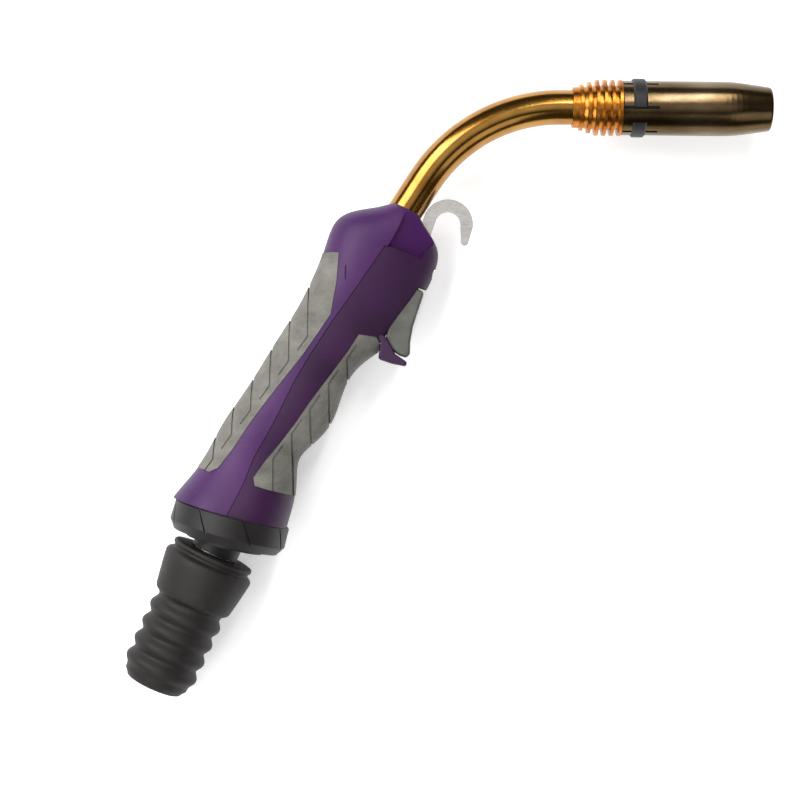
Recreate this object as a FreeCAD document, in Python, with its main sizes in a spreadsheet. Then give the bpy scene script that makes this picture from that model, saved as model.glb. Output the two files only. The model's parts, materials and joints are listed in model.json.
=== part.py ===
import FreeCAD, Part
import math
import os
import re

import Sketcher
from FreeCAD import Placement, Rotation, Vector

# A gas-cooled MIG welding torch: handle with a swivelling hose boot, swan neck and gas nozzle.
#
# Each piece is modelled in the frame that it is turned or pressed in, always with +X towards the
# nozzle end and +Z out of the torch's plane of symmetry:
#   GRIP    origin at the ball joint's centre, along the handle, +Y to the back of the hand
#   COLLAR  the same origin, along the rear collar's axis
#   BOOT    the same origin, along the hose's axis
#   NECK    origin at the neck tube's rear end inside the handle
#   HEAD    origin at the end of the neck's bend, along the nozzle
# The torch then lies down on its side. Lengths are millimetres and angles are degrees.

SIZES = {
    # How the torch lies and bends
    "grip_turn": 63.0,
    "collar_turn": 11.5,
    "boot_turn": 2.1,
    "neck_turn": -6.0,
    "neck_along": 110.7,
    "neck_side": -2.3,
    "sliding_gap": 0.3,
    "running_gap": 0.05,
    "seat_gap": 0.1,
    "edge_chamfer": 0.6,
    "overrun": 1.0,
    # Neck
    "neck_radius": 8.1,
    "neck_wall": 1.9,
    "neck_straight": 67.0,
    "bend_radius": 74.3,
    "bend_angle": 57.6,
    "insulation_rear": 2.0,
    "conductor_radius": 4.5,
    "conductor_rear": 8.0,
    "liner_radius": 2.2,
    "liner_bore": 1.0,
    "liner_rear": 27.0,
    "union_radius": 8.6,
    "union_rear": 12.0,
    "union_length": 11.0,
    "nipple_radius": 4.0,
    "nipple_length": 18.0,
    "barb_count": 3,
    "barb_pitch": 4.0,
    "barb_depth": 0.8,
    "flange_length": 2.0,
    "flange_height": 1.5,
    # Finned head, along HEAD
    "head_start": 5.1,
    "head_end": 27.7,
    "head_rear_radius": 9.4,
    "fin_count": 6,
    "fin_pitch": 3.54,
    "fin_width": 1.9,
    "fin_radius": 12.9,
    "first_fin_radius": 10.7,
    "fin_root": 10.2,
    "fin_chamfer": 0.25,
    "root_drop": 0.8,
    "neck_socket": 9.0,
    "spigot_radius": 9.4,
    "spigot_length": 16.5,
    "head_nose_radius": 6.4,
    "head_nose_length": 8.0,
    "insulator_radius": 10.7,
    # Gas nozzle and its split ring
    "nozzle_radius": 12.5,
    "nozzle_wall": 1.5,
    "nozzle_length": 69.0,
    "nozzle_taper": 17.5,
    "taper_round": 5.0,
    "mouth_radius": 10.2,
    "mouth_bore": 8.4,
    "mouth_round": 1.0,
    "slot_count": 6,
    "slot_length": 16.2,
    "slot_width": 1.4,
    "slot_turn": 8.0,
    "ring_start": 4.5,
    "ring_width": 6.4,
    "ring_radius": 13.45,
    "ring_chamfer": 0.8,
    "ring_gap_turn": 23.0,
    "ring_gap_width": 7.5,
    # Wear parts inside the nozzle
    "diffuser_length": 31.0,
    "diffuser_radius": 8.3,
    "diffuser_band_start": 11.0,
    "diffuser_band_length": 7.5,
    "diffuser_band_radius": 10.2,
    "diffuser_bore": 7.3,
    "diffuser_holes": 8,
    "diffuser_hole_radius": 0.9,
    "gas_hole_at": 4.5,
    "holder_thread": 5.0,
    "holder_thread_length": 7.8,
    "holder_radius": 5.9,
    "holder_length": 20.0,
    "holder_hex_radius": 7.0,
    "holder_hex_length": 9.0,
    "holder_bevel": 1.6,
    "tip_radius": 5.0,
    "tip_thread": 4.0,
    "tip_thread_length": 8.0,
    "tip_length": 30.0,
    "tip_cone": 6.0,
    "tip_end_radius": 3.2,
    "tip_flat": 8.0,
    "tip_flat_length": 5.5,
    "wire_bore": 0.6,
    "thread_pitch": 1.25,
    "thread_depth": 0.55,
    # Handle shells and grips
    "shell_wall": 2.6,
    "facet_along": 130.0,
    "facet_side": -7.6,
    "facet_up": 17.2,
    "facet_fall": 12.0,
    "facet_turn": -6.5,
    "facet_lean": 25.0,
    "nose_wall": 5.0,
    "seam_gap": 0.35,
    "seam_depth": 1.3,
    "grip_depth": 1.5,
    "grip_proud": 0.3,
    "grip_gap": 0.1,
    "groove_depth": 0.55,
    "groove_width": 0.8,
    "groove_step": 14.1,
    "groove_margin": 2.0,
    "groove_hook": 7.5,
    "groove_lean": 27.0,
    "upper_groove_first": 5.0,
    "lower_groove_first": 12.0,
    "lip_half_width": 9.0,
    "lip_corner": 1.1,
    "lip_round": 0.9,
    "mark_along": 119.5,
    "mark_side": 1.2,
    "mark_length": 6.0,
    "mark_width": 0.9,
    "mark_depth": 0.8,
    # Screws
    "screw_radius": 1.5,
    "screw_head_radius": 2.8,
    "screw_head_height": 2.0,
    "slit_width": 0.9,
    "slit_depth": 1.0,
    "screw_along": 141.0,
    "clamp_rear": 134.5,
    "clamp_below": 10.0,
    "screw_bite": 5.0,
    "clamp_front": 148.0,
    "clamp_half_width": 11.5,
    # Trigger and microswitch
    "trigger_half_width": 7.0,
    "trigger_corner": 1.6,
    "trigger_round": 1.2,
    "pivot_along": 126.5,
    "pivot_side": -24.5,
    "pivot_radius": 1.5,
    "pivot_half_length": 8.7,
    "switch_rear": 99.5,
    "switch_length": 20.0,
    "switch_inner": -12.2,
    "switch_depth": 9.0,
    "switch_half_width": 5.2,
    "plunger_along": 105.0,
    "plunger_radius": 1.3,
    "plunger_sunk": 4.0,
    "plunger_reach": 4.6,
    "plunger_bore": 8.0,
    "terminal_length": 7.0,
    "terminal_thickness": 0.8,
    "terminal_width": 4.0,
    "terminal_pitch": 4.5,
    "spring_along": 114.5,
    "spring_radius": 2.2,
    "spring_wire": 0.35,
    "spring_turns": 6,
    "hollow_rear": 108.0,
    "hollow_length": 14.0,
    "hollow_floor": -31.0,
    "hollow_half_width": 4.0,
    # Hook
    "hook_along": 163.9,
    "hook_side": -28.1,
    "hook_radius": 8.7,
    "hook_band": 5.8,
    "hook_thickness": 2.6,
    "hook_shank": 10.0,
    "hook_from": -70.0,
    "hook_to": 98.0,
    "hook_tip": 7.0,
    "hook_tip_width": 3.4,
    # Ball joint
    "ball_radius": 18.0,
    "ball_front": 12.0,
    "ball_rear": 14.0,
    "ball_tail": 20.3,
    "ball_tail_radius": 11.0,
    "seat_radius": 19.8,
    "seat_front": 7.5,
    "seat_rear": 11.0,
    "collar_top_radius": 26.4,
    "collar_radius": 27.3,
    "collar_bottom_radius": 24.6,
    "collar_belt": 9.5,
    "collar_bottom": 13.5,
    "collar_lip": 15.2,
    "collar_opening": 16.6,
    "collar_lip_wall": 1.4,
    "collar_mouth": 3.0,
    "collar_spigot_radius": 21.1,
    "collar_spigot": 8.0,
    "collar_groove_count": 8,
    "collar_groove_lean": 32.0,
    "collar_groove_length": 13.0,
    "collar_groove_width": 0.8,
    "collar_groove_depth": 0.9,
    "sleeve_radius": 9.6,
    "sleeve_bore": 8.2,
    "sleeve_front": 14.8,
    "sleeve_rear": 60.0,
    "sleeve_nut_radius": 11.0,
    "sleeve_nut_length": 2.4,
    # Boot
    "boot_top": 20.7,
    "boot_rim_radius": 19.3,
    "boot_groove_radius": 18.4,
    "boot_groove_at": 23.6,
    "boot_groove_width": 0.9,
    "boot_cup_radius": 21.2,
    "boot_cup_at": 27.0,
    "boot_cup_end": 44.5,
    "boot_cup_step": 1.6,
    "boot_cup_end_radius": 18.4,
    "rib_first": 52.6,
    "rib_pitch": 8.6,
    "rib_count": 4,
    "rib_radius": 17.5,
    "rib_root": 15.4,
    "boot_tail": 5.0,
    "boot_tail_radius": 13.0,
    "boot_bore": 9.2,
}

# The handle's cross-sections: place along the grip, reach to the back, reach to the trigger
# side, half width, and how much the trigger side is pinched in.
STATIONS = {
    "tail": (-12.0, 28.0, 28.2, 26.6, 0.0),
    "rear": (-2.0, 26.9, 27.2, 26.0, 0.0),
    "flare": (9.0, 24.3, 24.5, 23.6, 0.0),
    "heel": (22.0, 22.8, 21.2, 20.6, 0.05),
    "palm": (48.0, 20.8, 19.5, 18.2, 0.1),
    "waist": (74.0, 18.2, 19.8, 17.2, 0.15),
    "knuckle": (88.0, 16.9, 21.7, 17.2, 0.2),
    "slot": (99.0, 15.9, 27.0, 17.6, 0.3),
    "finger": (111.0, 15.9, 29.4, 18.2, 0.38),
    "thumb": (124.0, 16.9, 32.0, 18.9, 0.42),
    "brow": (137.0, 18.8, 33.1, 18.9, 0.42),
    "cheek": (146.0, 16.6, 31.8, 17.8, 0.38),
    "bridge": (152.5, 9.6, 27.9, 15.6, 0.3),
    "tip": (157.5, 3.0, 20.2, 12.8, 0.15),
    "nose": (161.0, -1.0, 15.4, 10.4, 0.1),
}
STATION_PARTS = ("at", "back", "front", "half", "pinch")
SECTION_POINTS = 16
SECTION_POWER = 2.3

# Outlines in the GRIP frame, seen from the side: places along the grip and towards its back.
SEAM = [(-30, 0.3), (15, 0.3), (28, 1.6), (48, 0.9), (66, 1.2), (80, 0.4), (90, -0.7), (101, -1.9),
        (113, -3.9), (130, -6.2), (140.5, -7.5)]
LOWER_FRONT = [(141.9, -10.7), (142.6, -19), (143.4, -24.6), (147, -24.4), (154, -27.2), (156, -60),
               (-30, -60)]
UPPER_GRIP = [(128.6, 10), (116.3, 4.9), (102, 0.6), (94, 1.5), (79.7, 3.5), (55, 8.4), (42.7, 10.5),
              (27.6, 12.2), (16.7, 14.3), (13.3, 17.1), (12.4, 22), (12.0, 60), (124, 60),
              (125.8, 16.2), (127.4, 13.4)]
LOWER_GRIP = [(99.6, -15), (90.5, -14), (79.2, -12.1), (63.4, -9.4), (49.9, -7.6), (39, -5.6),
              (28.6, -3.3), (20.2, -2.2), (17.3, -4.4), (17.9, -8.8), (20, -19.9), (21, -60),
              (93.5, -60), (94, -27.2), (100.6, -25), (102.2, -22.4)]
UPPER_EDGE = [(13.3, 17.1), (98, 1.0)]
LOWER_EDGE = [(20.2, -2.2), (99.6, -15)]
GUARD_LIP = [(104.5, -20), (102.6, -22.6), (101, -25.2), (93.9, -27.7), (94.8, -34.2), (96.4, -40),
             (97.6, -41), (98.6, -39.6), (99.3, -33.8), (101.2, -31.2), (104.5, -26)]
TRIGGER = [(130.6, -32.7), (120, -34.3), (114.4, -35.2), (107.3, -37.4), (102.5, -39.7),
           (100.3, -39), (99.8, -35.5), (100.4, -31), (103.5, -26.6), (110, -24.7), (120.5, -24.4),
           (122.6, -21.6), (126.5, -20.4), (130.2, -22), (131, -27)]
SLOT = [(133, -45), (98.2, -45), (98.2, -28.5), (101.2, -24), (106, -20.5), (121, -18), (132, -18),
        (132, -30)]

doc = FreeCAD.newDocument("mig_torch")
sheet = doc.addObject("Spreadsheet::Sheet", "Sizes")
cells = dict(SIZES)
for station, numbers in STATIONS.items():
    for part, number in zip(STATION_PARTS, numbers):
        cells[f"{station}_{part}"] = number
for row, (alias, number) in enumerate(cells.items(), start=1):
    sheet.set(f"A{row}", alias)
    sheet.set(f"B{row}", str(number))
    sheet.setAlias(f"B{row}", alias)
doc.recompute()

WORD = re.compile(r"[A-Za-z_]\w*")
AXIS_X = Vector(1, 0, 0)
AXIS_Y = Vector(0, 1, 0)
AXIS_Z = Vector(0, 0, 1)
ORIGIN = Vector(0, 0, 0)
FAR = 100.0  # past the edge of any piece that a cut runs out of
ALONG_X = Rotation(AXIS_Y, 90)  # turns a primitive's own axis to +X


def bound(text):
    """The formula with each size's name made a reference to its cell."""
    return WORD.sub(lambda word: "Sizes." + word.group() if word.group() in cells else word.group(), text)


def size(text):
    """The number that a formula of sizes gives."""
    got = sheet.evalExpression(bound(text))
    return float(getattr(got, "Value", got))


def place(along="0", side="0", turn="0"):
    return Placement(Vector(size(along), size(side), 0), Rotation(AXIS_Z, size(turn)))


def bend_end():
    """The end of the neck's bend, in the NECK frame."""
    radius, angle = size("bend_radius"), size("bend_angle")
    swing = math.radians(angle)
    along = size("neck_straight") + radius * math.sin(swing)
    side = -radius * (1 - math.cos(swing))
    return Placement(Vector(along, side, 0), Rotation(AXIS_Z, -angle))


GRIP = place()
COLLAR = place(turn="collar_turn")
BOOT = place(turn="boot_turn")
NECK = place("neck_along", "neck_side", "neck_turn")
HEAD = NECK.multiply(bend_end())

NODES = {}


def node(name, piece, frame=GRIP):
    """Name a finished piece and put it where its frame stands."""
    piece.Label = name
    piece.Placement = frame.multiply(piece.Placement)
    NODES[name] = piece
    return piece


def moved(piece, frame):
    piece.Placement = frame.multiply(piece.Placement)
    return piece


def primitive(kind, name, at, **sizes):
    """A Part primitive whose sizes are bound to the sheet."""
    piece = doc.addObject("Part::" + kind, name)
    for prop, text in sizes.items():
        piece.setExpression(prop, bound(text))
    piece.Placement = at
    return piece


def rod(name, start, end, radius):
    """A cylinder along X between two places."""
    at = Placement(Vector(size(start), 0, 0), ALONG_X)
    return primitive("Cylinder", name, at, Radius=radius, Height=f"({end}) - ({start})")


def hexagon(name, start, end, radius):
    at = Placement(Vector(size(start), 0, 0), ALONG_X)
    piece = primitive("Prism", name, at, Circumradius=radius, Height=f"({end}) - ({start})")
    piece.Polygon = 6
    return piece


def fused(name, *pieces):
    piece = doc.addObject("Part::MultiFuse", name)
    piece.Shapes = list(pieces)
    piece.Refine = False
    return piece


def cut(name, base, *tools):
    piece = doc.addObject("Part::Cut", name)
    piece.Base = base
    piece.Tool = tools[0] if len(tools) == 1 else fused(name + "_tools", *tools)
    return piece


def turned(name, profile):
    """A body turned about its X axis from corners given as formulas of place and radius."""
    body = doc.addObject("PartDesign::Body", name)
    sketch = body.newObject("Sketcher::SketchObject", name + "_profile")
    plane = next(f for f in body.Origin.OriginFeatures if f.Role == "XY_Plane")
    sketch.AttachmentSupport = [(plane, "")]
    sketch.MapMode = "FlatFace"
    corners = [Vector(size(along), size(radius), 0) for along, radius in profile]
    count = len(corners)
    for k, corner in enumerate(corners):
        sketch.addGeometry(Part.LineSegment(corner, corners[(k + 1) % count]), False)
    for k in range(count):
        sketch.addConstraint(Sketcher.Constraint("Coincident", (k - 1) % count, 2, k, 1))
    for k, texts in enumerate(profile):
        for kind, text in zip(("DistanceX", "DistanceY"), texts):
            number = sketch.addConstraint(Sketcher.Constraint(kind, -1, 1, k, 1, size(text)))
            sketch.setExpression(f"Constraints[{number}]", bound(text))
    revolution = body.newObject("PartDesign::Revolution", name + "_turned")
    revolution.Profile = sketch
    revolution.ReferenceAxis = (sketch, ["H_Axis"])
    revolution.Angle = 360
    body.Tip = revolution
    return body


def feature(name, shape):
    """A piece whose shape comes from Part's own functions."""
    piece = doc.addObject("Part::Feature", name)
    piece.Shape = shape
    return piece


# ---- Neck -----------------------------------------------------------------------------------


def bent_rod(name, rear, front, radius):
    """A rod that follows the neck, from rear (in NECK) to front (in HEAD)."""
    straight = rod(name + "_rear", rear, "neck_straight", radius)
    quarter = Rotation(AXIS_Z, size("90 - bend_angle"))
    middle = Placement(Vector(size("neck_straight"), size("-bend_radius"), 0), quarter)
    bend = primitive("Torus", name + "_bend", middle,
                     Radius1="bend_radius", Radius2=radius, Angle3="bend_angle")
    tail = moved(rod(name + "_front", "0", front, radius), bend_end())
    return fused(name, straight, bend, tail)


def bent_tube(name, rear, front, outer, inner):
    body = bent_rod(name + "_body", rear, front, outer)
    bore = bent_rod(name + "_bore", f"({rear}) - overrun", f"({front}) + overrun", inner)
    node(name, cut(name, body, bore), NECK)


def threaded(start, end, radius, pitch="thread_pitch", depth="thread_depth"):
    """Profile corners of a vee-grooved stretch, from start to end."""
    first, last = size(start), size(end)
    turns = max(1, int((last - first) / size(pitch)))
    step = (last - first) / turns
    corners = []
    for k in range(turns):
        for share, text in ((0.1, radius), (0.5, f"{radius} - {depth}"), (0.9, radius)):
            corners.append((f"({start}) + {(k + share) * step:.4f}", text))
    return corners


def make_neck():
    bent_tube("neck_tube", "0", "head_start + neck_socket", "neck_radius", "neck_radius - neck_wall")
    bent_tube("neck_insulation", "insulation_rear", "head_start + neck_socket",
              "neck_radius - neck_wall - running_gap", "conductor_radius + running_gap")
    bent_tube("neck_conductor", "-conductor_rear", "head_end + spigot_length",
              "conductor_radius", "liner_radius + running_gap")
    holder_front = "head_end + spigot_length + holder_length"
    bent_tube("wire_liner", "-liner_rear", f"{holder_front} - tip_thread_length",
              "liner_radius", "liner_bore")
    nut = hexagon("union_hexagon", "-union_rear", "union_length - union_rear", "union_radius")
    bore = rod("union_bore", "-union_rear - overrun", "union_length - union_rear + overrun",
               "conductor_radius + running_gap")
    node("union_nut", cut("union_nut", nut, bore), NECK)
    rear = "-union_rear - nipple_length"
    barbs = []
    for k in range(1, int(size("barb_count")) + 1):
        barbs += [(f"{rear} + {k} * barb_pitch", "nipple_radius"),
                  (f"{rear} + {k} * barb_pitch + edge_chamfer / 3", "nipple_radius - barb_depth")]
    flange = "conductor_radius + flange_height"
    node("hose_nipple", turned("hose_nipple", [
        (rear, "liner_radius + running_gap"),
        (rear, "nipple_radius - barb_depth")] + barbs + [
        ("-union_rear - flange_length", "nipple_radius - barb_depth"),
        ("-union_rear - flange_length", flange),
        ("-union_rear - running_gap", flange),
        ("-union_rear - running_gap", "liner_radius + running_gap")]), NECK)


# ---- Head, nozzle and wear parts ------------------------------------------------------------


def make_head():
    fins = [("head_start", "neck_radius + running_gap"), ("head_start", "head_rear_radius")]
    for k in range(int(size("fin_count"))):
        start = f"head_end - fin_width - {int(size('fin_count')) - 1 - k} * fin_pitch"
        share = min(1.0, k / 2)
        radius = f"first_fin_radius + {share} * (fin_radius - first_fin_radius)"
        root = f"fin_root - {1 - share} * root_drop"
        fins += [(start, root), (f"{start} + fin_chamfer", radius),
                 (f"{start} + fin_width - fin_chamfer", radius)]
        if k + 1 < int(size("fin_count")):
            fins.append((f"{start} + fin_width", root))
    nose = "head_end + spigot_length"
    node("torch_head", turned("torch_head", fins + [
        ("head_end", "fin_radius - fin_chamfer"),
        ("head_end", "spigot_radius"),
        (nose, "spigot_radius"),
        (nose, "head_nose_radius"),
        (f"{nose} + head_nose_length", "head_nose_radius"),
        (f"{nose} + head_nose_length", "holder_thread + running_gap"),
        (nose, "holder_thread + running_gap"),
        (nose, "conductor_radius + running_gap"),
        ("head_start + neck_socket", "conductor_radius + running_gap"),
        ("head_start + neck_socket", "neck_radius + running_gap")]), HEAD)
    node("nozzle_insulator", turned("nozzle_insulator", [
        ("head_end + seat_gap", "spigot_radius + running_gap"),
        ("head_end + seat_gap", "insulator_radius"),
        (f"{nose} - edge_chamfer", "insulator_radius"),
        (nose, "insulator_radius - edge_chamfer"),
        (nose, "spigot_radius + running_gap")]), HEAD)


def make_nozzle():
    rear = "head_end + 2 * seat_gap"
    front = "head_end + nozzle_length"
    taper = f"{front} - nozzle_taper"
    slope = "(nozzle_radius - mouth_radius) / (nozzle_taper - mouth_round)"
    shoulder = []
    for k in range(-2, 3):
        fall = f"{slope} * taper_round * {(k / 2 + 1) ** 2 / 4}"
        shoulder.append((f"{taper} + {k / 2} * taper_round", f"nozzle_radius - {fall}"))
    shell = turned("nozzle_shell", [
        (rear, "nozzle_radius - nozzle_wall"),
        (rear, "nozzle_radius")] + shoulder + [
        (f"{front} - mouth_round", "mouth_radius"),
        (f"{front} - 0.3 * mouth_round", "mouth_radius - 0.3 * mouth_round"),
        (front, "mouth_radius - mouth_round"),
        (front, "mouth_bore"),
        (f"{front} - 0.5 * nozzle_taper", "mouth_bore"),
        (taper, "nozzle_radius - nozzle_wall")])
    slots = []
    for k in range(int(size("slot_count"))):
        box = primitive("Box", f"nozzle_slot_{k}", Placement(),
                        Length="slot_length + 2 * overrun",
                        Width="slot_width", Height="nozzle_radius")
        turn = Rotation(AXIS_X, size(f"slot_turn + {k} * 360 / slot_count"))
        start = Vector(size("head_end - 2 * overrun"), size("-slot_width / 2"),
                       size("nozzle_radius / 2"))
        box.Placement = Placement(ORIGIN, turn).multiply(Placement(start, Rotation()))
        slots.append(box)
    node("gas_nozzle", cut("gas_nozzle", shell, *slots), HEAD)
    start = "head_end + ring_start"
    ring = turned("split_ring", [
        (start, "nozzle_radius"),
        (start, "ring_radius - ring_chamfer"),
        (f"{start} + ring_chamfer", "ring_radius"),
        (f"{start} + ring_width - ring_chamfer", "ring_radius"),
        (f"{start} + ring_width", "ring_radius - ring_chamfer"),
        (f"{start} + ring_width", "nozzle_radius")])
    gap = primitive("Box", "ring_gap", Placement(), Length="ring_width + 2 * overrun",
                    Width="ring_gap_width", Height="ring_radius + overrun")
    corner = Vector(size(f"{start} - overrun"), size("-ring_gap_width / 2"), 0)
    turn = Rotation(AXIS_X, size("ring_gap_turn"))
    gap.Placement = Placement(ORIGIN, turn).multiply(Placement(corner, Rotation()))
    node("nozzle_ring", cut("nozzle_ring", ring, gap), HEAD)


def make_wear_parts():
    seat = "head_end + spigot_length"
    band = f"{seat} + diffuser_band_start"
    band_end = f"{band} + diffuser_band_length"
    step = f"{seat} + head_nose_length + 4 * seat_gap"
    tube = turned("diffuser_tube", [
        (f"{seat} + seat_gap", "head_nose_radius + running_gap"),
        (f"{seat} + seat_gap", "diffuser_radius"),
        (f"{band} - edge_chamfer", "diffuser_radius"),
        (band, "diffuser_band_radius"),
        (band_end, "diffuser_band_radius"),
        (f"{band_end} + edge_chamfer", "diffuser_radius"),
        (f"{seat} + diffuser_length", "diffuser_radius"),
        (f"{seat} + diffuser_length", "diffuser_bore"),
        (step, "diffuser_bore"),
        (step, "head_nose_radius + running_gap")])
    holes = []
    for k in range(int(size("diffuser_holes"))):
        turn = Rotation(AXIS_X, size(f"{k} * 360 / diffuser_holes"))
        along = Vector(size(f"{band_end} + gas_hole_at"), 0, 0)
        at = Placement(ORIGIN, turn).multiply(Placement(along, Rotation()))
        holes.append(primitive("Cylinder", f"gas_hole_{k}", at,
                               Radius="diffuser_hole_radius", Height="diffuser_radius + overrun"))
    node("gas_diffuser", cut("gas_diffuser", tube, *holes), HEAD)

    shoulder = f"{seat} + head_nose_length + seat_gap"
    front = f"{seat} + holder_length"
    hex_rear = f"{front} - holder_hex_length"
    stem_rear = f"{seat} + seat_gap"
    stem = turned("holder_stem", [(stem_rear, "liner_radius + running_gap")]
                  + threaded(f"{stem_rear} + 2 * seat_gap", f"{seat} + holder_thread_length",
                             "holder_thread")
                  + [(shoulder, "holder_thread"),
                     (shoulder, "holder_radius"),
                     (f"{hex_rear} + overrun", "holder_radius"),
                     (f"{hex_rear} + overrun", "liner_radius + running_gap")])
    head = hexagon("holder_hex", hex_rear, front, "holder_hex_radius")
    cone = primitive("Cone", "holder_cone", Placement(Vector(size(hex_rear), 0, 0), ALONG_X),
                     Radius1="holder_hex_radius + holder_bevel", Radius2="holder_radius",
                     Height="holder_hex_length")
    chamfered = doc.addObject("Part::Common", "holder_head")
    chamfered.Base = head
    chamfered.Tool = cone
    tip_bore = rod("holder_tip_bore", f"{front} - tip_thread_length", f"{front} + overrun",
                   "tip_thread + running_gap")
    liner_bore = rod("holder_liner_bore", f"{stem_rear} - overrun", f"{front} + overrun",
                     "liner_radius + running_gap")
    node("tip_holder", cut("tip_holder", fused("holder_body", stem, chamfered), tip_bore, liner_bore),
         HEAD)

    rear = f"{front} - tip_thread_length + seat_gap"
    end = f"{front} + tip_length - tip_thread_length"
    tip = turned("tip_turned", [(rear, "wire_bore"), (rear, "tip_thread - thread_depth")]
                 + threaded(f"{rear} + edge_chamfer", f"{front} - edge_chamfer", "tip_thread")
                 + [(f"{front} + running_gap", "tip_thread - thread_depth"),
                    (f"{front} + running_gap", "tip_radius"),
                    (f"{end} - tip_cone", "tip_radius"),
                    (end, "tip_end_radius"),
                    (end, "wire_bore")])
    flats = []
    for side in (-1, 1):
        flat = primitive("Box", "tip_flat_" + ("rear" if side < 0 else "front"), Placement(),
                         Length="tip_flat_length", Width="2 * (tip_radius + overrun)",
                         Height="tip_radius")
        low = size("tip_flat / 2") if side > 0 else size("-tip_flat / 2 - tip_radius")
        flat.Placement.Base = Vector(size(f"{end} - tip_cone - tip_flat_length"),
                                     size("-tip_radius - overrun"), low)
        flats.append(flat)
    node("contact_tip", cut("contact_tip", tip, *flats), HEAD)


# ---- Handle ---------------------------------------------------------------------------------


def section(station, inset):
    """One closed cross-section of the handle, drawn in by inset."""
    at, back, front, half, pinch = (size(f"{station}_{part}") for part in STATION_PARTS)
    back, front, half = back - inset, front - inset, half - inset
    middle, reach = (back - front) / 2, (back + front) / 2
    points = []
    for k in range(SECTION_POINTS):
        angle = 2 * math.pi * k / SECTION_POINTS
        towards, across = math.cos(angle), math.sin(angle)
        side = math.copysign(abs(towards) ** (2 / SECTION_POWER), towards)
        up = math.copysign(abs(across) ** (2 / SECTION_POWER), across)
        narrow = 1 - pinch * ((1 - side) / 2) ** 2
        points.append(Vector(at, middle + reach * side, half * up * narrow))
    curve = Part.BSplineCurve()
    curve.interpolate(points, PeriodicFlag=True)
    return Part.Wire([curve.toShape()])


def form(inset="0", faceted=True):
    """The handle's outer form drawn in by inset, with a flat facet on each side of its nose."""
    loft = Part.makeLoft([section(station, size(inset)) for station in STATIONS], True, False)
    for side in (1, -1) if faceted else ():
        block = Part.makeBox(2 * FAR, 2 * FAR, FAR, Vector(-FAR, -2 * FAR, 0))
        lean = Rotation(AXIS_X, size("facet_lean")).multiply(Rotation(AXIS_Y, size("facet_fall")))
        turn = Rotation(AXIS_Z, size("facet_turn")).multiply(lean)
        up = size("facet_up") - size(inset)
        block.Placement = Placement(Vector(size("facet_along"), size("facet_side"), up), turn)
        if side < 0:
            block = block.mirror(ORIGIN, AXIS_Z)
        loft = loft.cut(block)
    return loft


def slab(points, half_width, corner=0):
    """An outline in the GRIP frame, made a plate as thick as twice half_width."""
    corners = [Vector(along, side, -half_width) for along, side in points]
    face = Part.Face(Part.makePolygon(corners + corners[:1]))
    if corner:
        face = face.makeOffset2D(-corner).makeOffset2D(2 * corner).makeOffset2D(-corner)
    return face.extrude(Vector(0, 0, 2 * half_width))


def grown(points, gap):
    """The outline moved outwards by gap."""
    wire = Part.makePolygon([Vector(x, y, 0) for x, y in points + points[:1]])
    wider = Part.Face(wire).makeOffset2D(gap, join=2)
    return [(vertex.X, vertex.Y) for vertex in wider.OuterWire.OrderedVertexes]


def upright(along, side, up, length, radius):
    """A cylinder along Y from side, length long."""
    return Part.makeCylinder(radius, length, Vector(along, side, up), AXIS_Y)


def rounded(shape, radius):
    """The plate with the edges of its two flat faces rounded."""
    rims = [edge for edge in shape.Edges if abs(edge.CenterOfMass.z) > shape.BoundBox.ZMax - 1e-6]
    return shape.makeFillet(radius, rims)


def front_of_shell(along, up):
    """Where a line along Y meets the trigger side of the handle."""
    line = Part.makeLine(Vector(along, 0, up), Vector(along, -FAR, up))
    return min(vertex.Y for vertex in line.common(OUTER).Vertexes)


def strip(start, end, half_width):
    """A straight strip through the whole handle, from start to end."""
    across = (end - start).cross(AXIS_Z).normalize() * half_width
    corners = [start - across, end - across, end + across, start + across]
    return slab([(corner.x, corner.y) for corner in corners], FAR)


def grooves(edge, first, towards):
    """Slots across a grip that lean with the neck, each with a hook beside the grip's seam edge.

    towards is +1 where the grip lies on the back of the hand's side of its edge, and -1 where it
    lies on the trigger's side.
    """
    start, end = (Vector(along, side, 0) for along, side in edge)
    along = (end - start).normalize()
    inwards = Vector(-along.y, along.x, 0) * towards
    lean = math.radians(size("groove_lean"))
    run = Vector(math.cos(lean), math.sin(lean), 0) * towards
    half = size("groove_width / 2")
    step = size("groove_step")
    slots = []
    place_along = size(first)
    while place_along < (end - start).Length:
        corner = start + along * place_along + inwards * size("groove_margin")
        slots.append(strip(corner, corner + run * FAR, half))
        slots.append(strip(corner + run * half, corner - along * towards * size("groove_hook"), half))
        place_along += step
    return slots[0].fuse(slots[1:])


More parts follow.
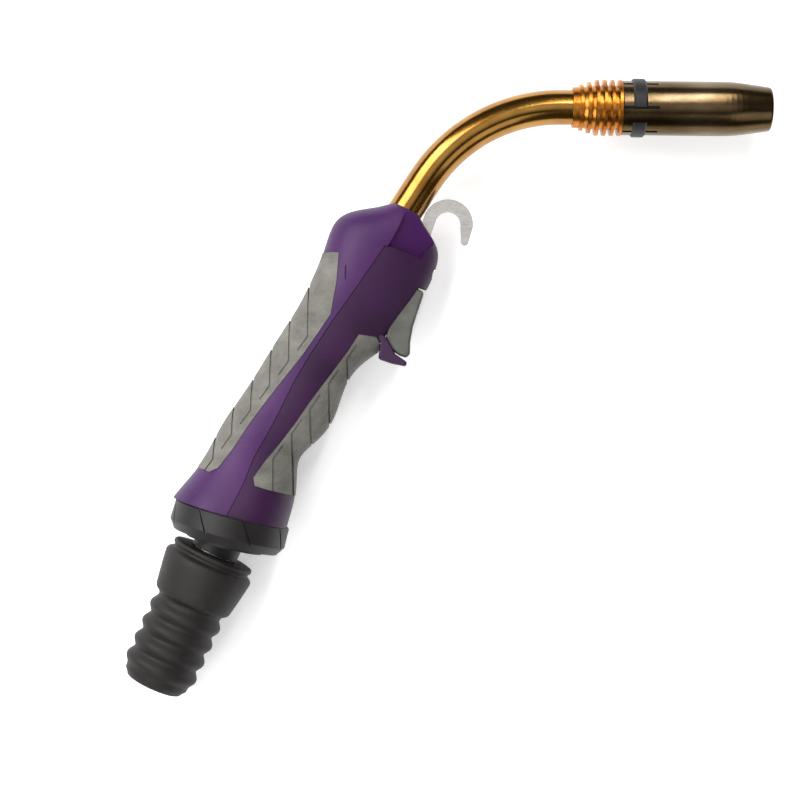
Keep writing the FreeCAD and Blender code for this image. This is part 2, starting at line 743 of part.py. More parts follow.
def make_handle():
    wall = size("shell_wall")
    gap = size("seam_gap")
    lower_outline = SEAM + LOWER_FRONT
    lower_zone = slab(lower_outline, FAR)
    seam = slab(grown(lower_outline, gap), FAR).cut(form("seam_depth"))
    upper_cut = slab(grown(lower_outline, size("running_gap")), FAR)
    nose_end = size("nose_at - nose_wall")
    inside = form("shell_wall").common(Part.makeBox(FAR * 2, FAR * 2, FAR * 2,
                                                    Vector(nose_end - 2 * FAR, -FAR, -FAR)))
    behind = Part.makeBox(FAR, 2 * FAR, 2 * FAR, Vector(-FAR, -FAR, -FAR))
    behind.Placement = COLLAR
    neck_hole = Part.makeCylinder(size("neck_radius + running_gap"), FAR)
    neck_hole.Placement = NECK.multiply(Placement(ORIGIN, ALONG_X))
    base = form("grip_depth")
    proud = form("-grip_proud")
    deep = form("groove_depth - grip_proud")
    lip = rounded(slab(GUARD_LIP, size("lip_half_width"), size("lip_corner")), size("lip_round"))

    upper_zone = slab(UPPER_GRIP, FAR)
    lower_grip_zone = slab(LOWER_GRIP, FAR)
    grip_gap = size("grip_gap")
    upper_recess = slab(grown(UPPER_GRIP, grip_gap), FAR).cut(base)
    lower_recess = slab(grown(LOWER_GRIP, grip_gap), FAR).cut(base)

    upper = OUTER.cut(upper_recess).cut(upper_cut).cut(seam).cut(behind).cut(inside).cut(neck_hole)
    lower = form(faceted=False).cut(lower_recess).common(lower_zone)
    lower = lower.cut(behind).cut(inside).cut(neck_hole)
    lower = lower.fuse(lip.cut(inside))

    # Screw that pulls the lower shell on to the neck clamp; the collar holds the shells' rear ends
    hole = size("screw_radius + running_gap")
    overrun = size("overrun")
    screw_along = size("screw_along")
    head_seat = front_of_shell(screw_along, 0) + size("screw_head_height")
    lower = lower.cut(upright(screw_along, -FAR, 0, 2 * FAR, hole))
    lower = lower.cut(upright(screw_along, -FAR, 0, FAR + head_seat, size("screw_head_radius + sliding_gap")))
    clamp_side = size("neck_side - neck_radius - clamp_below")
    fastener = screw(screw_along, 0, head_seat, clamp_side + size("screw_bite") - head_seat)

    # Trigger slot, pivot holes, hook slot and the finger-side mould marks
    slot = slab(SLOT, size("trigger_half_width + sliding_gap"))
    pivot = Vector(size("pivot_along"), size("pivot_side"), -size("pivot_half_length"))
    pin = Part.makeCylinder(size("pivot_radius"), 2 * size("pivot_half_length"), pivot)
    pin_hole = Part.makeCylinder(size("pivot_radius + running_gap"),
                                 2 * size("pivot_half_length"), pivot)
    lower = lower.cut(slot).cut(pin_hole)
    hook_shape = hook()
    upper = upper.cut(hook_shape)
    lower = lower.cut(hook_shape)
    mark = Part.makeBox(size("mark_length"), size("mark_width"), 2 * FAR, Vector(0, 0, -FAR))
    mark.Placement = place("mark_along", "mark_side", "groove_lean")
    upper = upper.cut(mark.cut(form("mark_depth")))

    node("upper_shell", feature("upper_shell", solid(upper)))
    node("lower_shell", feature("lower_shell", solid(lower)))
    node("trigger_pin", feature("trigger_pin", pin))
    node("hook", feature("hook", hook_shape))
    node("shell_screw", feature("shell_screw", fastener))

    skin = proud.cut(base).cut(behind)
    upper_grip = skin.common(upper_zone)
    upper_grip = upper_grip.cut(grooves(UPPER_EDGE, "upper_groove_first", 1).cut(deep))
    lower_grip = skin.common(lower_grip_zone).cut(lip)
    lower_grip = lower_grip.cut(grooves(LOWER_EDGE, "lower_groove_first", -1).cut(deep))
    node("upper_grip", feature("upper_grip", solid(upper_grip)))
    node("lower_grip", feature("lower_grip", solid(lower_grip)))

    # Clamp that holds the neck between the shells
    low, high = size("clamp_rear"), size("clamp_front")
    half = size("clamp_half_width")
    across = Part.makeBox(high - low, FAR, 2 * half, Vector(low, clamp_side, -half))
    block = form("shell_wall + sliding_gap").common(across)
    thread = upright(screw_along, clamp_side - overrun, 0, size("screw_bite + 2 * overrun"), hole)
    block = block.cut(neck_hole).cut(thread)
    node("neck_clamp", feature("neck_clamp", solid(block)))


def solid(shape):
    """The shape's one solid."""
    found = sorted(shape.Solids, key=lambda one: one.Volume)
    return found[-1]


def screw(along, up, seat, length):
    """A pan-head screw along +Y whose head sits under seat."""
    radius, head = size("screw_radius"), size("screw_head_radius")
    high = size("screw_head_height")
    shank = upright(along, seat, up, length, radius)
    gap, wide, deep = size("seat_gap"), size("slit_width"), size("slit_depth")
    cap = upright(along, seat - high + gap, up, high - gap, head)
    slit = Part.makeBox(wide, deep, 2 * head, Vector(along - wide / 2, seat - high, up - head))
    return cap.fuse(shank).cut(slit)


def hook():
    """A flat steel strip bent round to a hook, with its shank in the nose."""
    thick = size("hook_thickness")
    middle = Vector(size("hook_along"), size("hook_side"), -thick / 2)
    mean, band = size("hook_radius"), size("hook_band")
    first, last = size("hook_from"), size("hook_to")
    radii = (mean - band / 2, mean + band / 2)
    discs = [Part.makeCylinder(radius, thick, middle, AXIS_Z, last - first) for radius in radii]
    ring = discs[1].cut(discs[0])
    ring.rotate(middle, AXIS_Z, first)

    def arm(angle, forward, length, end_width):
        """A tapered arm that leaves the ring at angle, forward being +1 or -1 along its turn."""
        turn = math.radians(angle)
        out = Vector(math.cos(turn), math.sin(turn), 0)
        run = Vector(-math.sin(turn), math.cos(turn), 0) * forward
        start = middle + out * mean
        end = start + run * length
        corners = [start - out * (band / 2), start + out * (band / 2),
                   end + out * (end_width / 2), end - out * (end_width / 2)]
        face = Part.Face(Part.makePolygon(corners + corners[:1]))
        return face.extrude(Vector(0, 0, thick)).fuse(Part.makeCylinder(end_width / 2, thick, end))

    tip = arm(first, -1, size("hook_tip"), size("hook_tip_width"))
    shank = arm(last, 1, size("hook_shank"), band)
    return ring.fuse([tip, shank]).removeSplitter()


def make_trigger():
    body = rounded(slab(TRIGGER, size("trigger_half_width"), size("trigger_corner")),
                   size("trigger_round"))
    bore = Part.makeCylinder(size("pivot_radius + running_gap"), FAR,
                             Vector(size("pivot_along"), size("pivot_side"), -FAR / 2))
    half = size("hollow_half_width")
    hollow = Part.makeBox(size("hollow_length"), FAR, 2 * half,
                          Vector(size("hollow_rear"), size("hollow_floor"), -half))
    node("trigger", feature("trigger", solid(body.cut(bore).cut(hollow))))


def make_switch():
    depth, half = size("switch_depth"), size("switch_half_width")
    low = size("switch_inner") - depth
    base = Vector(size("switch_rear"), low, -half)
    case = primitive("Box", "switch_case", Placement(base, Rotation()), Length="switch_length",
                     Width="switch_depth", Height="2 * switch_half_width")
    at = Vector(size("plunger_along"), low - size("overrun"), 0)
    lie = Rotation(AXIS_X, -90)
    bore = primitive("Cylinder", "plunger_bore", Placement(at, lie),
                     Radius="plunger_radius + sliding_gap", Height="plunger_bore")
    node("switch_case", cut("microswitch", case, bore))
    start = Vector(size("plunger_along"), low - size("plunger_reach"), 0)
    node("switch_plunger", primitive("Cylinder", "switch_plunger", Placement(start, lie),
                                     Radius="plunger_radius", Height="plunger_reach + plunger_sunk"))
    tabs = []
    for k in (-1, 1):
        side = size(f"switch_inner - switch_depth / 2 + {k} * terminal_pitch / 2")
        corner = Vector(size("switch_rear - terminal_length"), side, size("-terminal_width / 2"))
        tabs.append(Part.makeBox(size("terminal_length"), size("terminal_thickness"),
                                 size("terminal_width"), corner))
    node("switch_terminals", feature("switch_terminals", Part.makeCompound(tabs)))


def make_spring():
    """The trigger's return spring, coiled from the switch to the trigger."""
    low = size("switch_inner - switch_depth")
    inner = size("hollow_floor")
    radius, wire = size("spring_radius"), size("spring_wire")
    gap = size("seat_gap")
    height = low - inner - 2 * (wire + gap)
    helix = Part.makeHelix(height / size("spring_turns"), height, radius)
    start = Part.Wire([Part.makeCircle(wire, Vector(radius, 0, 0), AXIS_Y)])
    coil = Part.Wire(helix.Edges).makePipeShell([start], True, True)
    spring = feature("trigger_spring", coil)
    at = Vector(size("spring_along"), inner + wire + gap, 0)
    spring.Placement = Placement(at, Rotation(AXIS_X, -90))
    node("trigger_spring", spring)


# ---- Ball joint and boot --------------------------------------------------------------------


def ball_zone(name, radius, rear, front):
    """A ball cut square at both ends, along X."""
    whole = primitive("Sphere", name + "_sphere", Placement(ORIGIN, ALONG_X), Radius=radius)
    between = rod(name + "_between", rear, front, radius + " + overrun")
    zone = doc.addObject("Part::Common", name)
    zone.Base = whole
    zone.Tool = between
    return zone


def make_ball_joint():
    zone = ball_zone("ball_zone", "ball_radius", "-ball_rear", "ball_front")
    tail = rod("ball_neck", "-ball_tail", "overrun - ball_rear", "ball_tail_radius")
    bore = rod("ball_bore", "-ball_tail - overrun", "ball_front + overrun",
               "sleeve_radius + sliding_gap")
    node("ball", cut("ball", fused("ball_body", zone, tail), bore), BOOT)

    outer = ball_zone("seat_zone", "seat_radius", "-seat_rear", "seat_front")
    inner = primitive("Sphere", "seat_hollow", Placement(), Radius="ball_radius + sliding_gap")
    node("ball_seat", cut("ball_seat", outer, inner), COLLAR)

    ring = turned("collar_ring", [
        ("collar_spigot", "sleeve_radius"),
        ("collar_spigot", "collar_spigot_radius"),
        ("-seat_gap", "collar_spigot_radius"),
        ("-seat_gap", "collar_top_radius"),
        ("-edge_chamfer - seat_gap", "collar_top_radius + edge_chamfer"),
        ("-collar_belt", "collar_radius"),
        ("-collar_bottom", "collar_bottom_radius"),
        ("-collar_bottom", "collar_opening + collar_lip_wall + edge_chamfer / 2"),
        ("-collar_lip", "collar_opening + collar_lip_wall"),
        ("-collar_lip", "collar_opening"),
        ("-collar_lip + collar_mouth", "collar_opening - edge_chamfer"),
        ("-collar_lip + collar_mouth", "sleeve_radius")])
    hollow = primitive("Sphere", "collar_hollow", Placement(), Radius="seat_radius + sliding_gap")
    opening = rod("collar_mouth", "-collar_lip - overrun", "0", "collar_opening - 2 * edge_chamfer")
    ticks = []
    for k in range(int(size("collar_groove_count"))):
        tick = primitive("Box", f"collar_tick_{k}", Placement(), Length="collar_groove_length",
                         Width="collar_groove_width", Height="collar_lip")
        turn = Rotation(AXIS_X, size(f"({k} + 0.5) * 360 / collar_groove_count"))
        lean = Rotation(AXIS_Z, size("collar_groove_lean"))
        up = Vector(size("-collar_belt / 2"), 0, size("collar_radius - collar_groove_depth"))
        shift = Placement(Vector(size("-collar_groove_length / 2"), 0, 0), Rotation())
        tick.Placement = Placement(ORIGIN, turn).multiply(Placement(up, lean)).multiply(shift)
        ticks.append(tick)
    node("collar", cut("collar", ring, hollow, opening, *ticks), COLLAR)


def make_boot():
    node("boot_sleeve", turned("boot_sleeve", [
        ("-sleeve_rear", "sleeve_bore"),
        ("-sleeve_rear", "sleeve_radius"),
        ("sleeve_front", "sleeve_radius"),
        ("sleeve_front", "sleeve_bore")]), BOOT)
    start = "ball_front + sliding_gap"
    node("sleeve_nut", turned("sleeve_nut", [
        (start, "sleeve_radius"),
        (start, "sleeve_nut_radius"),
        (f"{start} + sleeve_nut_length - edge_chamfer", "sleeve_nut_radius"),
        (f"{start} + sleeve_nut_length", "sleeve_nut_radius - edge_chamfer"),
        (f"{start} + sleeve_nut_length", "sleeve_radius")]), BOOT)
    count = int(size("rib_count"))
    ribs = []
    for k in range(count):
        peak = f"-rib_first - {k} * rib_pitch"
        ribs += [(f"{peak} + rib_pitch * 0.25", "rib_radius"), (f"{peak} - rib_pitch * 0.2", "rib_radius"),
                 (f"{peak} - rib_pitch * 0.4", "rib_root"), (f"{peak} - rib_pitch * 0.55", "rib_root")]
    end = f"-rib_first - {count - 1} * rib_pitch - rib_pitch / 2"
    node("boot", turned("boot", [
        ("-boot_top", "sleeve_radius"),
        ("-boot_top", "boot_rim_radius - edge_chamfer"),
        ("-boot_top - edge_chamfer", "boot_rim_radius"),
        ("-boot_groove_at + edge_chamfer", "boot_rim_radius"),
        ("-boot_groove_at", "boot_groove_radius"),
        ("-boot_groove_at - boot_groove_width", "boot_groove_radius"),
        ("-boot_cup_at", "boot_cup_radius"),
        ("-boot_cup_end", "boot_cup_end_radius"),
        ("-boot_cup_end - boot_cup_step", "rib_root")] + ribs + [
        (f"{end} - boot_tail", "boot_tail_radius"),
        (f"{end} - boot_tail", "boot_bore"),
        ("-sleeve_rear", "boot_bore"),
        ("-sleeve_rear", "sleeve_radius")]), BOOT)


OUTER = form()
make_neck()
make_head()
make_nozzle()
make_wear_parts()
make_handle()
make_trigger()
make_switch()
make_spring()
make_ball_joint()
make_boot()
doc.recompute()

# Lie the torch on its side, its plane of symmetry level, its lowest point on the bench and the
# origin under the middle of its box.
turn = Placement(ORIGIN, Rotation(AXIS_Z, size("grip_turn")))
for piece in NODES.values():
    piece.Placement = turn.multiply(piece.Placement)
doc.recompute()
box = FreeCAD.BoundBox()
for piece in NODES.values():
    box.add(piece.Shape.BoundBox)
shift = Placement(Vector(-box.Center.x, -box.Center.y, -box.ZMin), Rotation())
for piece in NODES.values():
    piece.Placement = shift.multiply(piece.Placement)
doc.recompute()
print("origin of the ball joint:", shift.Base)

faults = [item.Label for item in doc.Objects if {"Invalid", "Error"} & set(item.State)]
for name, piece in NODES.items():
    if piece.Shape.isNull() or not piece.Shape.isValid() or not piece.Shape.Solids:
        faults.append(name)
if faults:
    raise RuntimeError("failed: " + ", ".join(faults))

os.makedirs("parts", exist_ok=True)
for name, piece in NODES.items():
    piece.Shape.exportStep(f"parts/{name}.step")
print(len(NODES), "sub-parts")
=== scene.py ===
import json
import math

import bmesh
import bpy
from mathutils import Matrix, Vector


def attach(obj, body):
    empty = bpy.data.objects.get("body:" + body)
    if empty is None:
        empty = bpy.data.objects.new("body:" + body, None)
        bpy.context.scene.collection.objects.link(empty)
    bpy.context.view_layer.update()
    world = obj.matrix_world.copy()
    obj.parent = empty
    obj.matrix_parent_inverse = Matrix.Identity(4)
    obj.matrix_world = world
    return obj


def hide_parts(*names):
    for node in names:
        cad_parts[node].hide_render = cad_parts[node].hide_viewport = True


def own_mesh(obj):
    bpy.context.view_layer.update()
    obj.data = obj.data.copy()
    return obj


# A gas-cooled MIG welding torch lying on its side on a pale bench, seen square to its handle.

MM = 0.001
MERGE = 0.001 * MM
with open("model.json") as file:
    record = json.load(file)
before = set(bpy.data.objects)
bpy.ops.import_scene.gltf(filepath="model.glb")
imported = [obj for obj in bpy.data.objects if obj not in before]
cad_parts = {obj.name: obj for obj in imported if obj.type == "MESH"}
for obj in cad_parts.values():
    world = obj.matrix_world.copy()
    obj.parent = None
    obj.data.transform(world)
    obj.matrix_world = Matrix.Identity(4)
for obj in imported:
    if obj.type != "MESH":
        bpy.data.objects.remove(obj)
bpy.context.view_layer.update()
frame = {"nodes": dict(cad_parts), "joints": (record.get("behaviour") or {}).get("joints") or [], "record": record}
joints = {joint["name"]: joint for joint in frame["joints"]}


# ---- Finishes -------------------------------------------------------------------------------


def srgb(code):
    """A hex colour as the linear values that the shader takes."""
    parts = [int(code[k:k + 2], 16) / 255 for k in (1, 3, 5)]
    linear = [c / 12.92 if c <= 0.04045 else ((c + 0.055) / 1.055) ** 2.4 for c in parts]
    return (*linear, 1.0)


def add(tree, kind, inputs=(), **settings):
    """A node with its settings, and its inputs set to values or linked to sockets."""
    node = tree.nodes.new(kind)
    for name, value in settings.items():
        setattr(node, name, value)
    for name, value in dict(inputs).items():
        if isinstance(value, bpy.types.NodeSocket):
            tree.links.new(value, node.inputs[name])
        else:
            node.inputs[name].default_value = value
    return node


def finish(name):
    """A new material: its node tree, its shader and its Object coordinates."""
    material = bpy.data.materials.new(name)
    material.use_nodes = True
    tree = material.node_tree
    shader = tree.nodes["Principled BSDF"]
    coords = add(tree, "ShaderNodeTexCoord").outputs["Object"]
    return material, tree, shader, coords


def noise(tree, coords, grain_mm, detail=2.0, stretch=(1, 1, 1), roughness=0.5):
    """Noise whose grain is about grain_mm across, longer where stretch is less than 1."""
    mapped = add(tree, "ShaderNodeMapping", {"Vector": coords, "Scale": stretch}).outputs["Vector"]
    return add(tree, "ShaderNodeTexNoise", {
        "Vector": mapped, "Scale": 1 / (grain_mm * MM), "Detail": detail,
        "Roughness": roughness}).outputs["Fac"]


def ramp(tree, factor, *stops):
    """Colours at places from 0 to 1."""
    node = add(tree, "ShaderNodeValToRGB", {"Fac": factor})
    band = node.color_ramp
    while len(band.elements) < len(stops):
        band.elements.new(0.5)
    for element, (place, colour) in zip(band.elements, stops):
        element.position = place
        element.color = srgb(colour)
    return node.outputs["Color"]


def between(tree, factor, low, high, start=0.0, stop=1.0):
    """The factor from start to stop, spread from low to high."""
    return add(tree, "ShaderNodeMapRange", {
        "Value": factor, "From Min": start, "From Max": stop, "To Min": low,
        "To Max": high}).outputs["Result"]


def relief(tree, shader, height, depth_mm, strength=1.0):
    """Fine relief, depth_mm from its low to its high places."""
    bump = add(tree, "ShaderNodeBump", {
        "Height": height, "Distance": depth_mm * MM, "Strength": strength})
    tree.links.new(bump.outputs["Normal"], shader.inputs["Normal"])


def set_shader(tree, shader, **values):
    for name, value in values.items():
        socket = shader.inputs[name.replace("_", " ")]
        if isinstance(value, bpy.types.NodeSocket):
            tree.links.new(value, socket)
        else:
            socket.default_value = value


def moulded_abs(name, dark, light, worn):
    """ABS from a spark-eroded mould: a satin purple with a fine pebble and paler handling marks."""
    material, tree, shader, coords = finish(name)
    cloud = noise(tree, coords, 22.0, 3.0)
    scuff = noise(tree, coords, 3.0, 6.0, (0.35, 1.6, 1.0), 0.7)
    colour = ramp(tree, cloud, (0.3, dark), (0.7, light))
    handled = add(tree, "ShaderNodeMix", {
        "Factor": between(tree, scuff, 0.0, 0.3, 0.58, 0.8), "A": colour,
        "B": srgb(worn)}, data_type="RGBA").outputs[2]
    pebble = noise(tree, coords, 0.55, 3.0)
    set_shader(tree, shader, Base_Color=handled, Roughness=between(tree, scuff, 0.42, 0.58),
               IOR=1.5, Specular_IOR_Level=0.3)
    relief(tree, shader, pebble, 0.07, 0.6)
    return material


def soft_grip():
    """Thermoplastic elastomer moulded over the shells: matt warm grey, slightly soiled."""
    material, tree, shader, coords = finish("overmoulded_grey_elastomer")
    soil = noise(tree, coords, 9.0, 5.0, (0.7, 1.0, 1.0), 0.65)
    speck = noise(tree, coords, 0.5, 2.0)
    base = ramp(tree, soil, (0.3, "#595853"), (0.55, "#6e6c65"), (0.8, "#807d77"))
    shade = between(tree, speck, 0.82, 1.12, 0.3, 0.7)
    mottled = add(tree, "ShaderNodeMix", {
        "Factor": 1.0, "A": base, "B": shade}, data_type="RGBA", blend_type="MULTIPLY").outputs[2]
    set_shader(tree, shader, Base_Color=mottled, Roughness=0.72, IOR=1.5)
    relief(tree, shader, speck, 0.09, 0.6)
    return material


def trigger_nylon():
    """Moulded grey nylon: closer and slightly shinier than the grips."""
    material, tree, shader, coords = finish("moulded_grey_nylon")
    soil = noise(tree, coords, 7.0, 4.0)
    base = ramp(tree, soil, (0.3, "#42423d"), (0.75, "#565650"))
    set_shader(tree, shader, Base_Color=base, Roughness=between(tree, soil, 0.42, 0.55), IOR=1.53)
    relief(tree, shader, noise(tree, coords, 0.5, 2.0), 0.05, 0.5)
    return material


def black_nylon():
    """Moulded black nylon: a brown-black with a broad, low gloss and handling marks."""
    material, tree, shader, coords = finish("moulded_black_nylon")
    marks = noise(tree, coords, 4.0, 6.0, (1.0, 0.4, 1.0), 0.7)
    base = ramp(tree, marks, (0.3, "#0a0707"), (0.6, "#120d0d"), (0.8, "#241d1b"))
    set_shader(tree, shader, Base_Color=base, Roughness=between(tree, marks, 0.4, 0.62), IOR=1.45)
    relief(tree, shader, noise(tree, coords, 0.6, 3.0), 0.08, 0.6)
    return material


def boot_rubber():
    """Moulded rubber: dull brown-black with dust on it and a fine orange-peel skin."""
    material, tree, shader, coords = finish("moulded_black_rubber")
    dust = noise(tree, coords, 6.0, 7.0, (1.0, 1.0, 1.0), 0.72)
    base = ramp(tree, dust, (0.32, "#0e0a0a"), (0.58, "#181211"), (0.78, "#2c2521"))
    set_shader(tree, shader, Base_Color=base, Roughness=between(tree, dust, 0.5, 0.75), IOR=1.45)
    relief(tree, shader, noise(tree, coords, 0.8, 4.0), 0.12, 0.7)
    return material


def lacquered_brass():
    """Drawn brass tube, polished and lacquered: deep gold with faint draw lines."""
    material, tree, shader, coords = finish("lacquered_drawn_brass")
    cloud = noise(tree, coords, 14.0, 3.0)
    base = ramp(tree, cloud, (0.3, "#8f5e1b"), (0.7, "#a97d36"))
    lines = noise(tree, coords, 1.2, 4.0, (1.0, 1.0, 1.0), 0.6)
    set_shader(tree, shader, Base_Color=base, Metallic=1.0,
               Roughness=between(tree, lines, 0.13, 0.24), Coat_Weight=0.4, Coat_Roughness=0.1)
    relief(tree, shader, lines, 0.02, 0.25)
    return material


def turned_copper_brass():
    """Turned copper alloy warmed by use: patches from orange to gold."""
    material, tree, shader, coords = finish("turned_copper_alloy")
    heat = noise(tree, coords, 5.0, 4.0)
    base = ramp(tree, heat, (0.25, "#8e4513"), (0.5, "#b06f28"), (0.8, "#cc9443"))
    set_shader(tree, shader, Base_Color=base, Metallic=1.0, Roughness=between(tree, heat, 0.2, 0.34))
    relief(tree, shader, noise(tree, coords, 0.5, 3.0), 0.012, 0.25)
    return material


def nickel_plate():
    """Nickel-plated copper: bright, with turning lines and a brown heat tint."""
    material, tree, shader, coords = finish("bright_nickel_plate")
    tint = noise(tree, coords, 16.0, 4.0, (0.6, 1.4, 1.4))
    base = ramp(tree, tint, (0.3, "#47371f"), (0.5, "#5f4e36"), (0.75, "#7c6d56"))
    lines = noise(tree, coords, 0.9, 4.0, (2.5, 0.25, 0.25), 0.6)
    set_shader(tree, shader, Base_Color=base, Metallic=1.0, Roughness=between(tree, lines, 0.16, 0.3))
    relief(tree, shader, lines, 0.015, 0.35)
    return material


def phenolic():
    """Moulded phenolic: dense black with a low sheen and a faint filler speckle."""
    material, tree, shader, coords = finish("moulded_phenolic")
    speck = noise(tree, coords, 0.9, 3.0)
    base = ramp(tree, speck, (0.35, "#0c0b0b"), (0.75, "#171515"))
    set_shader(tree, shader, Base_Color=base, Roughness=between(tree, speck, 0.42, 0.58), IOR=1.45)
    relief(tree, shader, speck, 0.03, 0.4)
    return material


def bright_steel():
    """Blanked and zinc-plated steel: bright, with a fine lengthways grain."""
    material, tree, shader, coords = finish("zinc_plated_steel")
    grain = noise(tree, coords, 1.0, 4.0, (0.4, 2.5, 1.0), 0.6)
    base = ramp(tree, grain, (0.3, "#a3a09c"), (0.7, "#c4c1bd"))
    set_shader(tree, shader, Base_Color=base, Metallic=1.0, Roughness=between(tree, grain, 0.24, 0.4))
    relief(tree, shader, grain, 0.02, 0.35)
    return material


def turned_metal(name, dark, light, rough):
    """Freshly turned metal: a clean colour with fine tool lines."""
    material, tree, shader, coords = finish(name)
    lines = noise(tree, coords, 0.6, 3.0, (2.0, 0.4, 0.4))
    base = ramp(tree, lines, (0.3, dark), (0.7, light))
    set_shader(tree, shader, Base_Color=base, Metallic=1.0,
               Roughness=between(tree, lines, rough - 0.06, rough + 0.06))
    relief(tree, shader, lines, 0.02, 0.4)
    return material


def moulded_plastic(name, dark, light, rough):
    """A plain moulding with a little cloud in its colour."""
    material, tree, shader, coords = finish(name)
    cloud = noise(tree, coords, 3.0, 4.0)
    base = ramp(tree, cloud, (0.3, dark), (0.7, light))
    set_shader(tree, shader, Base_Color=base, Roughness=rough, IOR=1.5)
    relief(tree, shader, cloud, 0.03, 0.3)
    return material


FINISHES = {
    "purple_abs": moulded_abs("moulded_purple_abs", "#38134a", "#451a54", "#5c3768"),
    "grey_grip": soft_grip(),
    "grey_nylon": trigger_nylon(),
    "black_nylon": black_nylon(),
    "boot_rubber": boot_rubber(),
    "gold_brass": lacquered_brass(),
    "copper_brass": turned_copper_brass(),
    "nickel_plate": nickel_plate(),
    "black_phenolic": phenolic(),
    "bright_steel": bright_steel(),
    "yellow_brass": turned_metal("turned_brass", "#a8862c", "#cdb050", 0.28),
    "copper": turned_metal("drawn_copper", "#b1552f", "#d98a66", 0.26),
    "liner_steel": turned_metal("wound_spring_steel", "#7d7d7d", "#a5a5a5", 0.4),
    "silver_terminal": turned_metal("tinned_brass", "#b5b5b0", "#d2d2cc", 0.35),
    "white_ceramic": moulded_plastic("moulded_white_insulator", "#d2cfc6", "#e6e3dc", 0.45),
    "red_plastic": moulded_plastic("moulded_red_acetal", "#8c1f18", "#a82a20", 0.35),
}


# The lower shell takes a darker copy of the same purple ABS: painted shade for the shadow that falls on that side
# of the handle
SHADED_LOWER_SHELL_ABS = moulded_abs("purple_abs_painted_shade", "#2b1030", "#37163f", "#4b2a51")


def dress_cad_nodes():
    """Every CAD node takes the finish that its material slot names, except the lower shell, which takes the darker
    copy of the purple ABS with painted shade.
    """
    for part in frame["record"]["subparts"]:
        # the lower shell's coat is the purple ABS darkened as painted shade
        coat = SHADED_LOWER_SHELL_ABS if part["node"] == "lower_shell" else FINISHES[part["material_slot"]]
        for slot in frame["nodes"][part["node"]].material_slots:
            slot.material = coat


# ---- Pieces ---------------------------------------------------------------------------------


def along(axis, point):
    """The frame at point whose +X is axis and whose +Z is upright."""
    forward = Vector(axis).normalized()
    up = Vector((0, 0, 1))
    side = up.cross(forward)
    turn = Matrix((forward, side, up)).transposed().to_4x4()
    return Matrix.Translation(Vector(point)) @ turn


def piece_of(bm, name, slot, body, smooth_below=40):
    """The finished mesh as an object that rides on a body."""
    mesh = bpy.data.meshes.new(name)
    bm.to_mesh(mesh)
    bm.free()
    mesh.shade_smooth()
    mesh.set_sharp_from_angle(angle=math.radians(smooth_below))
    mesh.materials.append(FINISHES[slot])
    piece = bpy.data.objects.new(name, mesh)
    bpy.context.scene.collection.objects.link(piece)
    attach(piece, body)
    return piece


def spun(profile, place, steps=96):
    """A closed profile of (along, radius) points in mm, spun about its X axis."""
    bm = bmesh.new()
    ring = [bm.verts.new((x * MM, 0, r * MM)) for x, r in profile]
    edges = [bm.edges.new((ring[k - 1], ring[k])) for k in range(len(ring))]
    bmesh.ops.spin(bm, geom=ring + edges, cent=(0, 0, 0), axis=(1, 0, 0), angle=2 * math.pi,
                   steps=steps, use_merge=True)
    bmesh.ops.remove_doubles(bm, verts=bm.verts, dist=MERGE)
    bmesh.ops.recalc_face_normals(bm, faces=bm.faces)
    bmesh.ops.transform(bm, matrix=place, verts=bm.verts)
    return bm


# The boot, in mm from the ball joint's centre along the hose's axis
BOOT_TOP = 20.7
SLEEVE_RADIUS = 9.6
BOOT_BORE = 9.2
SLEEVE_REAR = 60.0
RIB_FIRST = 52.6
RIB_PITCH = 8.6
RIB_COUNT = 4
RIB_RADIUS = 17.5
RIB_ROOT = 15.4
TAIL_RADIUS = 13.0
TAIL = 5.0
RIBS_START = 48.2
STEPS_PER_RIB = 12


def make_boot():
    """The rubber boot: a rolled rim over a ring groove, a cup, and ribs down to the tail."""
    outside = [(-20.7, 18.0), (-20.9, 18.8), (-21.5, 19.3), (-22.3, 19.4), (-22.9, 19.1), (-23.3, 18.6),
               (-23.8, 18.4), (-24.4, 18.5), (-24.9, 19.2), (-25.5, 20.2), (-26.3, 20.9),
               (-27.4, 21.15), (-30, 20.8), (-34, 20.2), (-38, 19.55), (-42, 18.85), (-44, 18.45),
               (-44.9, 18.0), (-45.6, 17.1), (-46.3, 16.1), (-47.0, 15.6)]
    last = RIB_FIRST + RIB_COUNT * RIB_PITCH - RIB_PITCH / 2
    for k in range(RIB_COUNT * STEPS_PER_RIB + 1):
        x = RIBS_START + k * (last - RIBS_START) / (RIB_COUNT * STEPS_PER_RIB)
        wave = 0.5 + 0.5 * math.cos(2 * math.pi * (x - RIB_FIRST) / RIB_PITCH)
        outside.append((-x, RIB_ROOT + (RIB_RADIUS - RIB_ROOT) * wave ** 0.75))
    tail = last + TAIL
    outside += [(-last - 2, 15.2), (-tail + 1.5, TAIL_RADIUS + 0.9), (-tail + 0.4, TAIL_RADIUS + 0.3),
                (-tail, TAIL_RADIUS - 0.5)]
    inside = [(-tail, BOOT_BORE + 0.5), (-tail + 0.5, BOOT_BORE), (-SLEEVE_REAR, BOOT_BORE),
              (-SLEEVE_REAR, SLEEVE_RADIUS), (-BOOT_TOP, SLEEVE_RADIUS), (-BOOT_TOP, 17.0)]
    joint = joints["hose_twist"]
    bm = spun(outside + inside, along(joint["axis"], joint["pos_m"]))
    boot = piece_of(bm, "rubber_boot", "boot_rubber", "hose_end", 50)
    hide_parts("boot")


def shorten_spring():
    """The trigger's return spring, which the trigger squeezes towards the switch: here it only gets a mesh of its
    own.
    """
    spring = frame["nodes"]["trigger_spring"]
    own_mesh(spring)


# ---- Stage ----------------------------------------------------------------------------------


TORCH_CENTRE = Vector((0, 0, 0.03))  # what the lamps point at
BENCH_SIZE = 3.0
BENCH_GLOW = 0.4  # keeps the shadows pale, as on a light table


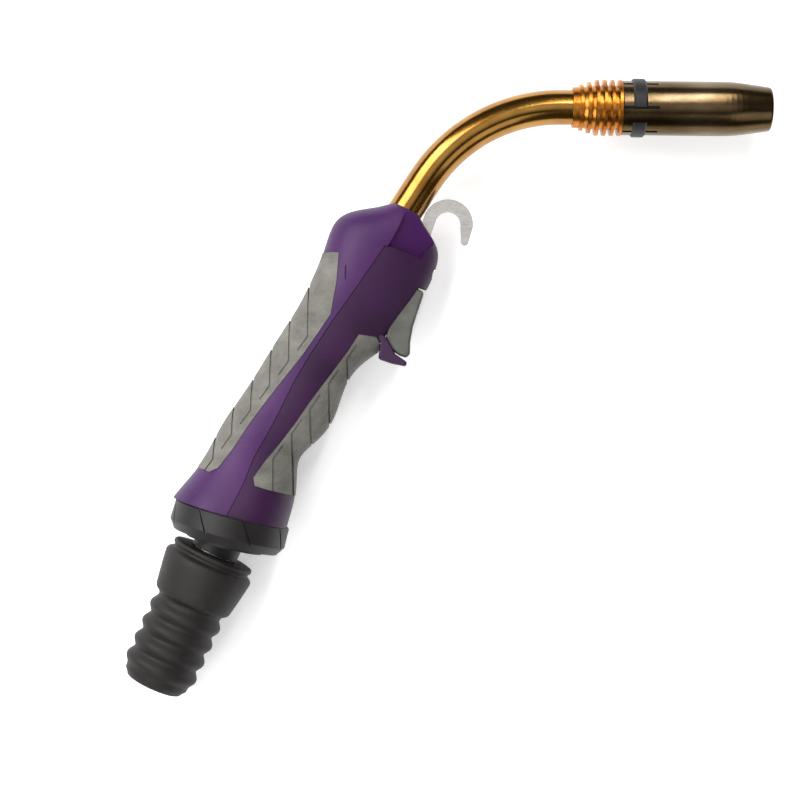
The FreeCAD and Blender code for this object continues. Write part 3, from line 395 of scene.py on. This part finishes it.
def make_floor():
    """A pale bench that glows a little."""
    bm = bmesh.new()
    bmesh.ops.create_grid(bm, x_segments=1, y_segments=1, size=BENCH_SIZE)
    mesh = bpy.data.meshes.new("bench")
    bm.to_mesh(mesh)
    bm.free()
    floor = bpy.data.objects.new("bench", mesh)
    bpy.context.scene.collection.objects.link(floor)
    material, tree, shader, _ = finish("pale_bench")
    set_shader(tree, shader, Base_Color=srgb("#f6f6f6"), Roughness=0.9,
               Emission_Color=srgb("#ffffff"), Emission_Strength=BENCH_GLOW)
    mesh.materials.append(material)


def light(name, place, size, power, size_y=None):
    """An area light that faces the torch."""
    lamp = bpy.data.lights.new(name, "AREA")
    lamp.shape = "RECTANGLE"
    lamp.size = size
    lamp.size_y = size_y or size
    lamp.energy = power
    holder = bpy.data.objects.new(name, lamp)
    holder.location = place
    holder.rotation_euler = (TORCH_CENTRE - Vector(place)).to_track_quat("-Z", "Y").to_euler()
    bpy.context.scene.collection.objects.link(holder)


def make_lights():
    """A wide key, a long strip, a fill and a weak rim lamp, in a dim room with a bright ceiling."""
    world = bpy.data.worlds.new("studio")
    bpy.context.scene.world = world
    world.use_nodes = True
    tree = world.node_tree
    way = add(tree, "ShaderNodeTexCoord").outputs["Generated"]
    height = add(tree, "ShaderNodeSeparateXYZ", {"Vector": way}).outputs["Z"]
    walls = ramp(tree, height, (0.0, "#6e6c6a"), (0.3, "#3c3937"), (0.9, "#2e2c2a"), (0.985, "#f4f4f4"))
    sky = tree.nodes["Background"]
    tree.links.new(walls, sky.inputs["Color"])
    light("key", (-0.95, 0.65, 1.25), 1.3, 34)
    light("strip", (0.35, 1.0, 1.2), 0.12, 8, size_y=1.0)
    light("fill", (-0.75, -1.1, 1.5), 1.2, 18)
    light("rim", (0.9, -0.95, 1.1), 0.9, 3)


CAMERA_HEIGHT = 0.82  # above the torch's plane of symmetry
VIEW_WIDTH = 0.3704  # the width seen at that plane
VIEW_FROM_BALL = (0.0773, 0.0521)  # the view's centre from the ball joint's centre


def make_camera():
    camera = bpy.data.cameras.new("camera")
    camera.sensor_width = 36.0
    camera.lens = camera.sensor_width * CAMERA_HEIGHT / VIEW_WIDTH
    holder = bpy.data.objects.new("camera", camera)
    ball = joints["ball_swing"]["pos_m"]
    holder.location = (ball[0] + VIEW_FROM_BALL[0], ball[1] + VIEW_FROM_BALL[1],
                       ball[2] + CAMERA_HEIGHT)
    bpy.context.scene.collection.objects.link(holder)
    bpy.context.scene.camera = holder
    bpy.context.scene.view_settings.view_transform = "Standard"


make_camera()
make_floor()
make_lights()
dress_cad_nodes()
make_boot()
shorten_spring()
